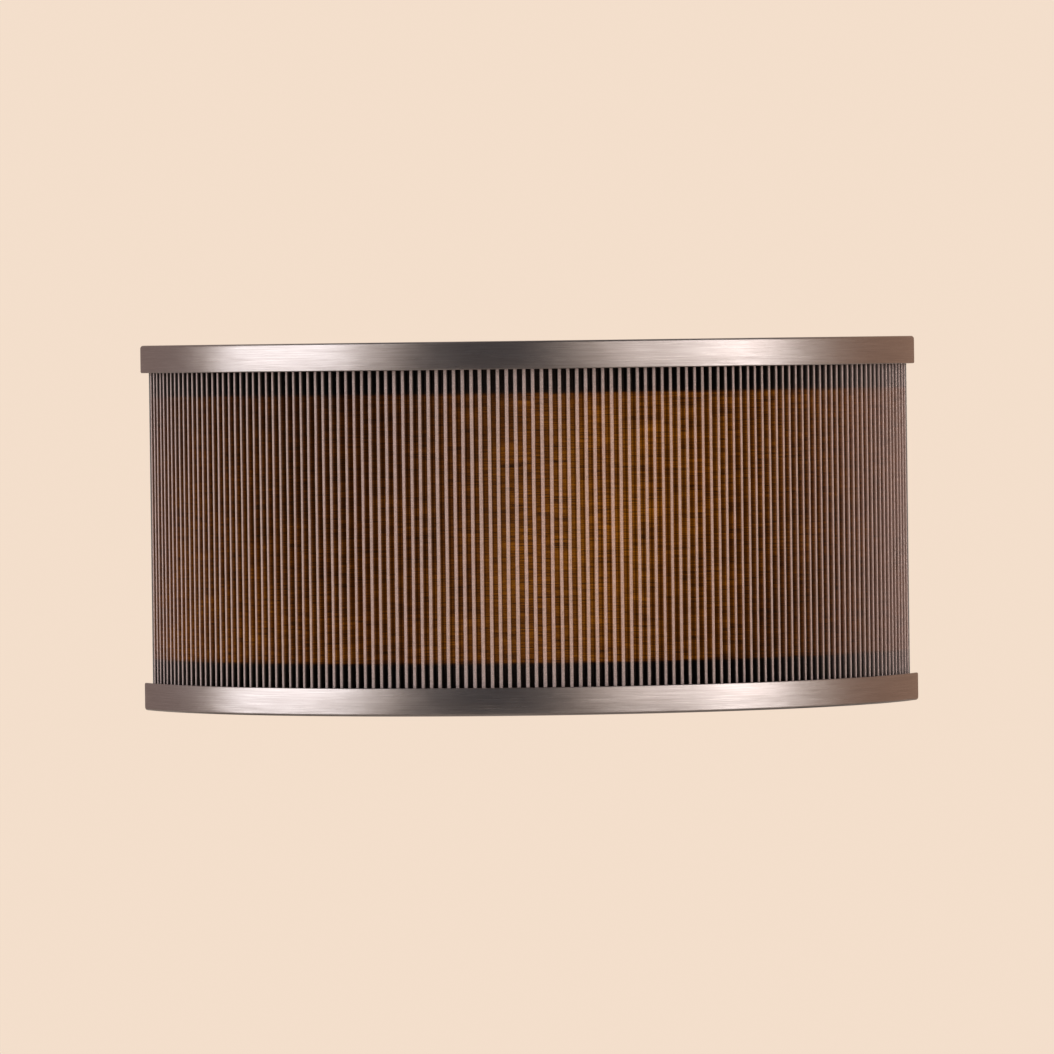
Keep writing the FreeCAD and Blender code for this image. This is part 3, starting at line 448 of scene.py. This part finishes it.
def dress_wall_unit():
    dress(satin_paint("pan_satin_white", (0.74, 0.70, 0.65), (0.69, 0.645, 0.595), rough=0.40,
                      grain=1.6, depth=0.00004), "wall_pan")
    dress(zinc_plate(), "wall_strap", "lamp_bracket")
    dress(rubber(), "cable_inlet_bush")
    dress(moulded("terminal_natural", (0.72, 0.71, 0.68), (0.66, 0.645, 0.61), rough=0.36,
                  inner_light=0.1), "terminal_block")
    dress(turned_metal("earth_brass", BRASS, "Y", middle("earth_screw"), rough=0.3), "earth_screw")
    for name in both("press_nut"):
        dress(turned_metal(name + "_zinc", ZINC, "Y", middle(name), rough=0.33), name)
    for name in both("strap_bolt"):
        dress(turned_metal(name + "_zinc", ZINC, "Y", middle(name), rough=0.33, pitch=0.7), name)
    for name in both("cap_nut"):
        dress(turned_metal(name + "_nickel", BRIGHT_NICKEL, "Y", middle(name), rough=0.22), name)


def dress_lamp_mounts():
    front = middle("base_nipple")
    across = middle("holder_nipple_left")
    dress(turned_metal("brass_front", BRASS, "Y", front, rough=0.28, pitch=1.0), "base_nipple")
    dress(turned_metal("brass_across", BRASS, "X", across, rough=0.28, pitch=1.0),
          *both("holder_nipple"))
    dress(turned_metal("nut_front", ZINC, "Y", front, rough=0.34), "base_nut_front", "base_nut_back")
    dress(turned_metal("nut_across", ZINC, "X", across, rough=0.34), *both("holder_nut"))
    dress(turned_metal("shell_brass", BRASS, "X", across, rough=0.26, pitch=LAMP_PITCH,
                       thread=LAMP_THREAD), *both("screw_shell"))
    dress(satin_paint("contact_brass", (0.70, 0.53, 0.25), (0.55, 0.39, 0.16), rough=0.30,
                      metallic=1.0), *both("centre_contact"))
    dress(moulded("holder_warm_white", (0.74, 0.72, 0.67), (0.68, 0.65, 0.60), rough=0.34,
                  inner_light=0.08), *both("lampholder"))


def dress_lamps():
    dress(turned_metal("cap_aluminium", ALUMINIUM, "X", middle("lamp_cap_left"), rough=0.28,
                       pitch=LAMP_PITCH, thread=LAMP_THREAD), *both("lamp_cap"))
    dress(moulded("insulator_black", (0.020, 0.020, 0.023), (0.035, 0.034, 0.036), rough=0.18),
          *both("lamp_insulator"))
    dress(satin_paint("solder_tip", (0.58, 0.58, 0.58), (0.48, 0.48, 0.49), rough=0.38,
                      metallic=1.0, depth=0.0001), *both("lamp_tip"))
    dress(moulded("housing_white", (0.80, 0.79, 0.76), (0.75, 0.735, 0.70), rough=0.30,
                  inner_light=0.05), *both("lamp_housing"))
    dress(moulded("board_white", (0.78, 0.78, 0.76), (0.70, 0.70, 0.68), rough=0.45),
          *both("lamp_board"))
    dress(opal_glass(), *both("lamp_globe"))


dress_shade()
dress_wall_unit()
dress_lamp_mounts()
dress_lamps()

# ------------------------------------------------------------------ rounds on the nodes' edges

SHARP_FROM = math.radians(38)           # edges sharper than this are rounded
SAME_POINT = 0.000002                   # corners this close are one
ROUNDS = {                              # the width of the round, and its nodes
    0.00025: [*both("end_post"), *both("shade_arm"), *both("holder_nut"), *both("lampholder"),
              *both("lamp_housing"), "base_nut_front", "base_nut_back"],
    0.0002: [*both("rear_tie", LEVELS), *both("cap_nut"), *both("thumb_screw"), "wall_strap",
             "cable_inlet_bush"],
    0.00015: [*both("inner_rim", LEVELS), *both("press_nut"), *both("holder_nipple"),
              *both("strap_bolt"), "wall_pan", "lamp_bracket", "base_nipple", "earth_screw"],
    0.0004: ["terminal_block"],
}


def smooth_shading():
    """Nodes for a modifier that shades every face smooth."""
    group = bpy.data.node_groups.new("smooth_shading", "GeometryNodeTree")
    for way in ("INPUT", "OUTPUT"):
        group.interface.new_socket("Geometry", in_out=way, socket_type="NodeSocketGeometry")
    first, smooth, last = [group.nodes.new(kind) for kind in
                           ("NodeGroupInput", "GeometryNodeSetShadeSmooth", "NodeGroupOutput")]
    group.links.new(first.outputs[0], smooth.inputs[0])
    group.links.new(smooth.outputs[0], last.inputs[0])
    return group


def round_edges(node, width, smooth):
    """Modifiers that break a node's sharp edges by a small round, so that they catch light."""
    node.modifiers.new("smooth", "NODES").node_group = smooth
    node.modifiers.new("join", "WELD").merge_threshold = SAME_POINT
    rounding = node.modifiers.new("ease", "BEVEL")
    rounding.width = width
    rounding.segments = 2
    rounding.limit_method = "ANGLE"
    rounding.angle_limit = SHARP_FROM
    node.modifiers.new("even", "WEIGHTED_NORMAL").weight = 50


smooth_group = smooth_shading()
for width, names in ROUNDS.items():
    for name in names:
        round_edges(nodes[name], width, smooth_group)

# ------------------------------------------------------------------ mesh helpers


def place_in_scene(name, data):
    ob = bpy.data.objects.new(name, data)
    bpy.context.scene.collection.objects.link(ob)
    return ob


def new_piece(name, verts, faces, mat):
    """A smooth-shaded object of this mesh and material."""
    mesh = bpy.data.meshes.new(name)
    mesh.from_pydata([tuple(v) for v in verts], [], faces)
    mesh.validate()
    mesh.update()
    mesh.materials.append(mat)
    for face in mesh.polygons:
        face.use_smooth = True
    return place_in_scene(name, mesh)


def grid_faces(rows, cols, flip=False, closed_rows=False):
    """Quads between rows of cols points; closed_rows joins each row's last point to its first."""
    faces = []
    for i in range(rows - 1):
        for j in range(cols if closed_rows else cols - 1):
            k = (j + 1) % cols
            quad = (i * cols + j, i * cols + k, (i + 1) * cols + k, (i + 1) * cols + j)
            faces.append(quad[::-1] if flip else quad)
    return faces


def rounded_path(points, closed=True):
    """Points along a path whose corners are (u, v, radius, steps), each rounded by its radius."""
    count = len(points)
    path = []
    for i, (u, v, radius, steps) in enumerate(points):
        if not closed and i in (0, count - 1) or radius <= 0:
            path.append((u, v))
            continue
        corner = Vector((u, v))
        back = (Vector(points[i - 1][:2]) - corner).normalized()
        on = (Vector(points[(i + 1) % count][:2]) - corner).normalized()
        half = back.angle(on) / 2
        reach = radius / math.tan(half)
        centre = corner + (back + on).normalized() * (radius / math.sin(half))
        start = corner + back * reach - centre
        turn = start.angle_signed(corner + on * reach - centre)
        for k in range(steps + 1):
            t = -turn * k / steps
            path.append((start.x * math.cos(t) - start.y * math.sin(t) + centre.x,
                         start.x * math.sin(t) + start.y * math.cos(t) + centre.y))
    return path


# ------------------------------------------------------------------ trim bands

FOLD_ROUND = 0.00105                    # outside of the band's fold
INSIDE_ROUND = 0.0003                   # and its inside
EDGE_ROUND = 0.0004
END_ROUND = 0.00035                     # corners of the band's face at its two ends
BAND_STEPS = 300                        # along the band, and at each of its ends
END_STEPS = 5


def band_section():
    """The band's angle section as (radius, height) for the top band."""
    inner = OUTER - SHEET
    return rounded_path([
        (OUTER, HALF - BAND, EDGE_ROUND, 4),
        (OUTER, HALF, FOLD_ROUND, 8),
        (LIP, HALF, EDGE_ROUND, 4),
        (LIP, HALF - SHEET, EDGE_ROUND, 4),
        (inner, HALF - SHEET, INSIDE_ROUND, 3),
        (inner, HALF - BAND, EDGE_ROUND, 4),
    ])


def band_stations(end_share):
    """Places along the band from -1 to 1, close together at its rounded ends."""
    end = [1 - end_share * (1 - math.sin(math.pi / 2 * k / END_STEPS)) for k in range(END_STEPS + 1)]
    return [-u for u in end[:0:-1]] + list(np.linspace(-end[0], end[0], BAND_STEPS + 1)) + end[1:]


def band_height(u, end_share):
    """The band's height at u as a share of its full height: less than 1 at its rounded ends."""
    inside = min(1.0, (1 - abs(u)) / end_share)
    fall = 1 - math.sqrt(max(0.0, 1 - (1 - inside) ** 2))
    return 1 - fall * END_ROUND / (BAND / 2)


def trim_band(word, sign, mat):
    """A sheet folded to an angle: rounded fold, dressed edges and eased end corners."""
    section = band_section()
    centre = HALF - BAND / 2
    end_share = END_ROUND / (OUTER * math.acos((ARC_Y + WALL_GAP) / OUTER))
    stations = band_stations(end_share)
    verts = []
    for u in stations:
        for radius, z in section:
            angle = u * math.acos((ARC_Y + WALL_GAP) / radius)
            height = centre + (z - centre) * band_height(u, end_share)
            verts.append((radius * math.sin(angle), ARC_Y - radius * math.cos(angle), sign * height))
    rows, cols = len(stations), len(section)
    faces = grid_faces(rows, cols, flip=sign < 0, closed_rows=True)
    first_end = list(range(cols))
    last_end = list(range((rows - 1) * cols, rows * cols))
    faces.append(first_end[::-sign])
    faces.append(last_end[::sign])
    ob = new_piece("band_" + word, verts, faces, mat)
    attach(ob, "shade")
    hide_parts("trim_band_" + word)


nickel = brushed_nickel()
trim_band("top", 1, nickel)
trim_band("bottom", -1, nickel)

# ------------------------------------------------------------------ screws of the terminal block

SCREW_RADIUS = 0.0021
SCREW_EDGE = 0.0002
SCREW_DEEP = 0.0035                     # its head is this far inside the block's back
SCREW_LENGTH = 0.00325
SCREW_FACETS = 48
SLOT_WIDTH = 0.0007
SLOT_DEPTH = 0.0008
SCREW_TURNS = {"left": 0.5, "middle": 1.9, "right": 1.1}         # how the slots lie, in radians


def mesh_of(bm, name):
    mesh = bpy.data.meshes.new(name)
    bm.to_mesh(mesh)
    bm.free()
    return mesh


def screw_blank(name, x, z, foot, head):
    """A short round bar along Y with an eased rim."""
    bm = bmesh.new()
    rings = [(foot, SCREW_RADIUS), (head - SCREW_EDGE, SCREW_RADIUS),
             (head, SCREW_RADIUS - SCREW_EDGE)]
    angles = [2 * math.pi * k / SCREW_FACETS for k in range(SCREW_FACETS)]
    loops = [[bm.verts.new((x + radius * math.cos(a), y, z + radius * math.sin(a))) for a in angles]
             for y, radius in rings]
    for a, b in zip(loops, loops[1:]):
        for k in range(SCREW_FACETS):
            m = (k + 1) % SCREW_FACETS
            bm.faces.new((a[k], b[k], b[m], a[m]))
    bm.faces.new(loops[0])
    bm.faces.new(loops[-1][::-1])
    return mesh_of(bm, name)


def slot_cutter(name, x, z, head, turn):
    """The bar that cuts the slot, turned about the screw's axis."""
    bm = bmesh.new()
    bmesh.ops.create_cube(bm, size=1.0)
    place = (Matrix.Translation((x, head, z)) @ Matrix.Rotation(turn, 4, "Y")
             @ Matrix.Diagonal((SCREW_RADIUS * 3, SLOT_DEPTH * 2, SLOT_WIDTH, 1)))
    bmesh.ops.transform(bm, matrix=place, verts=bm.verts)
    return mesh_of(bm, name)


def slotted_screw(name, x, z, head, turn):
    """A slotted screw along Y, whose head faces the wall."""
    whole = place_in_scene(name + "_whole", screw_blank(name, x, z, head - SCREW_LENGTH, head))
    tool = place_in_scene(name + "_slot", slot_cutter(name + "_slot", x, z, head, turn))
    cut = whole.modifiers.new("slot", "BOOLEAN")
    cut.operation = "DIFFERENCE"
    cut.solver = "EXACT"
    cut.object = tool
    bpy.context.view_layer.update()
    depsgraph = bpy.context.evaluated_depsgraph_get()
    shaped = bpy.data.meshes.new_from_object(whole.evaluated_get(depsgraph))
    for ob in (whole, tool):
        bpy.data.objects.remove(ob)
    shaped.materials.clear()
    place = (x * MM, head * MM, z * MM)
    shaped.materials.append(turned_metal(name + "_zinc", ZINC, "Y", place, rough=0.3))
    screw = place_in_scene(name, shaped)
    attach(screw, "wall_unit")


block_low, block_high = corners("terminal_block")
pole_pitch = (block_high[0] - block_low[0]) / len(SCREW_TURNS)
for pole, (word, turn) in enumerate(SCREW_TURNS.items(), start=-1):
    slotted_screw("terminal_screw_" + word, pole * pole_pitch, (block_low[2] + block_high[2]) / 2,
                  block_high[1] - SCREW_DEEP, turn)

# ------------------------------------------------------------------ pleated cloth

THICK = 0.00035
COUNT = 115                             # pleats
ROWS = 18                               # rows of points from bottom to top
FRONT_HALF = 0.00054                    # half the width of a pleat's front, at the shade's middle
FOLD_HALF = 0.00096                     # and of the fold between two pleats
FRONT_CORNER = 0.00014                  # rounds of the creases, on the middle of the cloth
FOLD_CORNER = 0.00026
NARROWER = {"left": 0.32, "right": 0.38}         # the share that the fronts lose on each flank
NARROWEST_AT = 2 / 3                    # of the way from the middle to each end
LONG_STRETCH = 0.0015                   # a stretch deeper than this gets two more points
CLOTH_GAP = 0.0033                      # the pleats share the arc up to this far from the wall
CLOTH_CUT = 0.0034                      # and the cloth ends this far from it
SHIFT = 0.000028                        # how far a pleat wanders along the arc, with the next ones
JITTER = 0.00002                        # and by itself
LEAN = 0.00003                          # how far it leans at the cloth's top and bottom edge
BOW = 0.00003                           # and bows between them
WIDTH_SPREAD = 0.045                    # how the fronts' widths differ, as a share
DEPTH_SPREAD = 0.00006
FRONT_RADIUS = RIDGE - THICK / 2        # of the middle of the cloth at the fronts
FOLD_RADIUS = VALLEY + THICK / 2        # and at the folds
STEP = 2 * math.acos((ARC_Y + CLOTH_GAP) / FRONT_RADIUS) / COUNT         # angle between two pleats


def smooth_noise(count, reach, size):
    """A wandering line of numbers, smooth over reach steps."""
    raw = dice.normal(0, 1, count + 4 * reach)
    kernel = np.hanning(2 * reach + 1)
    kernel /= np.sqrt((kernel ** 2).sum())
    return np.convolve(raw, kernel, "same")[2 * reach:2 * reach + count] * size


def pleat_section(front, slip, top):
    """Half a fold, a pleat and half a fold, as (place along the arc, radius)."""
    half = STEP * FOLD_RADIUS / 2
    path = rounded_path([
        (-half, FOLD_RADIUS, 0, 0),
        (-half + FOLD_HALF, FOLD_RADIUS, FOLD_CORNER, 3),
        (-front + slip, top, FRONT_CORNER, 4),
        (front + slip, top, FRONT_CORNER, 4),
        (half - FOLD_HALF, FOLD_RADIUS, FOLD_CORNER, 3),
        (half, FOLD_RADIUS, 0, 0),
    ], closed=False)
    points = []
    for a, b in zip(path, path[1:]):
        points.append(a)
        if abs(a[1] - b[1]) > LONG_STRETCH:
            points += [(a[0] + (b[0] - a[0]) * t, a[1] + (b[1] - a[1]) * t) for t in (1 / 3, 2 / 3)]
    return points


def pleat_lines(zs):
    """A line across all pleats at each height, as (angle, radius). No two pleats are quite alike.

    One pleat more than is needed stands at each end, for in_front to cut.
    """
    count = COUNT + 2
    shift = smooth_noise(count, reach=2, size=SHIFT) + dice.normal(0, JITTER, count)
    lean = dice.normal(0, LEAN, count)
    width = 1 + dice.normal(0, WIDTH_SPREAD, count)
    depth = dice.normal(0, DEPTH_SPREAD, count)
    bows = [smooth_noise(ROWS, reach=3, size=BOW) for _ in range(count)]
    lines = []
    for row, z in enumerate(zs):
        line = []
        for n in range(count):
            i = n - 1 - COUNT // 2      # 0 is the pleat in the middle
            narrower = NARROWER["right" if i > 0 else "left"]
            flank = math.sin(math.pi / 2 * abs(2 * i / COUNT) / NARROWEST_AT) ** 2
            front = FRONT_HALF * width[n] * (1 - narrower * flank)
            slip = shift[n] + lean[n] * (z / CLOTH_HALF) + bows[n][row]
            section = pleat_section(front, slip, FRONT_RADIUS + min(0.0, depth[n]))
            line += [(i * STEP + u / radius, radius) for u, radius in section]
        lines.append(line)
    return lines


def in_front(lines):
    """The lines as rows of x and y, without what is too near to the wall."""
    middle_row = lines[ROWS // 2]
    kept = [k for k, (a, radius) in enumerate(middle_row) if radius * math.cos(a) - ARC_Y > CLOTH_CUT]
    return np.array([[(radius * math.sin(a), ARC_Y - radius * math.cos(a))
                      for a, radius in line[kept[0]:kept[-1] + 1]] for line in lines])


def two_skins(grid, zs):
    """The outer and inner skin's points, half the cloth's thickness to each side of the grid."""
    tangent = np.gradient(grid, axis=1)
    tangent /= np.linalg.norm(tangent, axis=2, keepdims=True)
    normal = np.stack([tangent[..., 1], -tangent[..., 0]], axis=2)
    verts = []
    for offset in (THICK / 2, -THICK / 2):
        for line, z in zip(grid + normal * offset, zs):
            verts += [(x, y, z) for x, y in line]
    return verts


def skin_faces(rows, cols):
    """Faces of two skins of rows by cols points, closed round their edges."""
    size = rows * cols
    outside = grid_faces(rows, cols)
    faces = outside + [tuple(size + v for v in face[::-1]) for face in outside]
    for c in range(cols - 1):
        faces.append((c, size + c, size + c + 1, c + 1))
        b = (rows - 1) * cols + c
        faces.append((b, b + 1, size + b + 1, size + b))
    for r in range(rows - 1):
        a = r * cols
        faces.append((a, a + cols, size + a + cols, size + a))
        b = a + cols - 1
        faces.append((b, size + b, size + b + cols, b + cols))
    return faces


def pleated_cloth():
    """The cloth, and the length that it had before it was pleated."""
    zs = np.linspace(-CLOTH_HALF, CLOTH_HALF, ROWS)
    grid = in_front(pleat_lines(zs))
    steps = np.diff(grid, axis=1)
    developed = float(np.hypot(steps[..., 0], steps[..., 1]).sum(axis=1).mean())
    faces = skin_faces(ROWS, grid.shape[1])
    return new_piece("pleated_cloth", two_skins(grid, zs), faces, slub_cloth()), developed


cloth, developed = pleated_cloth()
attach(cloth, "shade")
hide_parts("pleated_fabric")

# ------------------------------------------------------------------ camera

FRAME_PIXELS = 1054                     # a side of the picture
FOCAL_PIXELS = 9680                     # the lens, in the same pixels
SENSOR = 36.0                           # in millimetres
CAMERA_PLACE = (-0.0668, -3.8784, 0.0724)
PAN = math.radians(0.9709)              # to the right
TILT = math.radians(-1.0933)            # upwards
ROLL = math.radians(-0.7393)            # anticlockwise


def photo_camera():
    """A long lens in front and a little to the left, fitted to the bands' edges and the pleats."""
    data = bpy.data.cameras.new("camera")
    data.sensor_width = SENSOR
    data.lens = FOCAL_PIXELS / FRAME_PIXELS * SENSOR
    data.clip_start = 0.1
    data.clip_end = 50.0
    ob = place_in_scene("camera", data)
    level = Matrix.Rotation(math.pi / 2, 4, "X")
    ob.matrix_world = (Matrix.Translation(CAMERA_PLACE) @ Matrix.Rotation(-PAN, 4, "Z") @ level
                       @ Matrix.Rotation(TILT, 4, "X") @ Matrix.Rotation(ROLL, 4, "Z"))
    bpy.context.scene.camera = ob


photo_camera()

# ------------------------------------------------------------------ floor, lights and cards

FLOOR_RADIUS = 2.2
FLOOR_Z = -0.46
COOL_LIGHT = (0.98, 0.99, 1.0)
WARM_LIGHT = (1.0, 0.955, 0.915)
LIGHT_DISTANCE = 2.7
WATTS_PER_AREA = 4.0                    # a light's power for each square metre and unit of radiance
CARD_RADIUS = 1.6
AROUND = (-40, 40)                      # elevations of a card round the object
OVERHEAD = (40, 89)
UNDERNEATH = (-89, -40)


def pale_floor():
    s = Shader("stage_floor")
    tone = s.noise(s.place, 0.004, detail=3.0)
    colour = s.mix(s.span(tone, 0.3, 0.7), (0.80, 0.70, 0.60), (0.76, 0.66, 0.565))
    disc = bmesh.new()
    bmesh.ops.create_circle(disc, cap_ends=True, segments=96, radius=FLOOR_RADIUS)
    floor = place_in_scene("stage_floor", mesh_of(disc, "stage_floor"))
    floor.location.z = FLOOR_Z
    floor.data.materials.append(s.surface(Base_Color=colour, Roughness=0.9, Specular_IOR_Level=0.1))


def softbox(name, azimuth, wide, tall, radiance, colour, height):
    """A soft light at this azimuth, 0 in front and + to the right, that shines level inwards.

    wide is the angle that it fills, seen from the object; tall is its own height, and height
    that of its middle above the object's.
    """
    light = bpy.data.lights.new(name, "AREA")
    light.shape = "RECTANGLE"
    light.size = 2 * LIGHT_DISTANCE * math.tan(math.radians(wide / 2))
    light.size_y = tall
    light.color = colour
    light.energy = radiance * WATTS_PER_AREA * light.size * light.size_y
    ob = place_in_scene(name, light)
    a = math.radians(azimuth)
    ob.location = (math.sin(a) * LIGHT_DISTANCE, -math.cos(a) * LIGHT_DISTANCE, height)
    aim = Vector((-ob.location.x, -ob.location.y, 0))
    ob.rotation_euler = aim.to_track_quat("-Z", "Y").to_euler()
    ob.visible_camera = False


def card(name, azimuths, elevations, low, high, radius=CARD_RADIUS):
    """Part of a sphere round the object, seen only in shiny parts."""
    rows, cols = 12, 16
    verts = []
    for elevation in np.radians(np.linspace(*elevations, rows)):
        for azimuth in np.radians(np.linspace(*azimuths, cols)):
            reach = radius * math.cos(elevation)
            verts.append((reach * math.sin(azimuth), -reach * math.cos(azimuth),
                          radius * math.sin(elevation)))
    s = Shader(name)
    tone = s.noise(s.place, 0.003)
    glow = s.add("ShaderNodeEmission", Color=s.mix(tone, low, high), Strength=1.0)
    ob = new_piece(name, verts, grid_faces(rows, cols), s.finish(glow))
    ob.visible_camera = ob.visible_diffuse = ob.visible_shadow = False
    ob.visible_transmission = ob.visible_volume_scatter = False


pale_floor()
softbox("soft_left", -73, wide=46, tall=8.4, radiance=1.89, colour=COOL_LIGHT, height=2.0)
softbox("soft_right", 62, wide=24, tall=3.0, radiance=2.68, colour=WARM_LIGHT, height=0.70)
softbox("soft_shoulder", 34, wide=18, tall=4.4, radiance=1.10, colour=WARM_LIGHT, height=0.70)
softbox("soft_back", 180, wide=60, tall=4.4, radiance=0.80, colour=WARM_LIGHT, height=1.4)
card("card_front", (-36, 12), AROUND, (0.06, 0.056, 0.060), (0.09, 0.084, 0.090))
card("card_left", (-166, -104), AROUND, (0.34, 0.245, 0.215), (0.44, 0.320, 0.280))
card("card_right", (92, 166), AROUND, (0.46, 0.280, 0.190), (0.56, 0.340, 0.235))
card("card_back", (166, 194), AROUND, (0.40, 0.350, 0.310), (0.48, 0.425, 0.380))
card("card_above", (-100, 100), OVERHEAD, (0.06, 0.052, 0.050), (0.10, 0.088, 0.084))
card("card_behind", (100, 260), OVERHEAD, (0.40, 0.345, 0.310), (0.52, 0.455, 0.410))
card("card_below", (-180, 180), UNDERNEATH, (0.10, 0.085, 0.078), (0.16, 0.138, 0.126), radius=0.6)

# ------------------------------------------------------------------ world


def studio_world():
    """A faint ambient light; the camera, shiny parts and glass see a pale warm backdrop instead."""
    world = bpy.data.worlds.new("studio")
    world.use_nodes = True
    bpy.context.scene.world = world
    w = Nodes(world.node_tree)
    ray = w.add("ShaderNodeLightPath").outputs
    seen = w.calc("MAXIMUM", ray["Is Camera Ray"], ray["Is Glossy Ray"])
    seen = w.calc("MAXIMUM", seen, ray["Is Transmission Ray"])
    ambient = w.add("ShaderNodeBackground", Color=(1.0, 0.93, 0.87), Strength=0.10)
    backdrop = w.add("ShaderNodeBackground", Color=(0.90, 0.735, 0.60), Strength=1.0)
    either = w.feed(w.add("ShaderNodeMixShader"), seen, ambient.outputs[0], backdrop.outputs[0])
    w.add("ShaderNodeOutputWorld", Surface=either)


studio_world()
bpy.context.scene.view_settings.view_transform = "Standard"
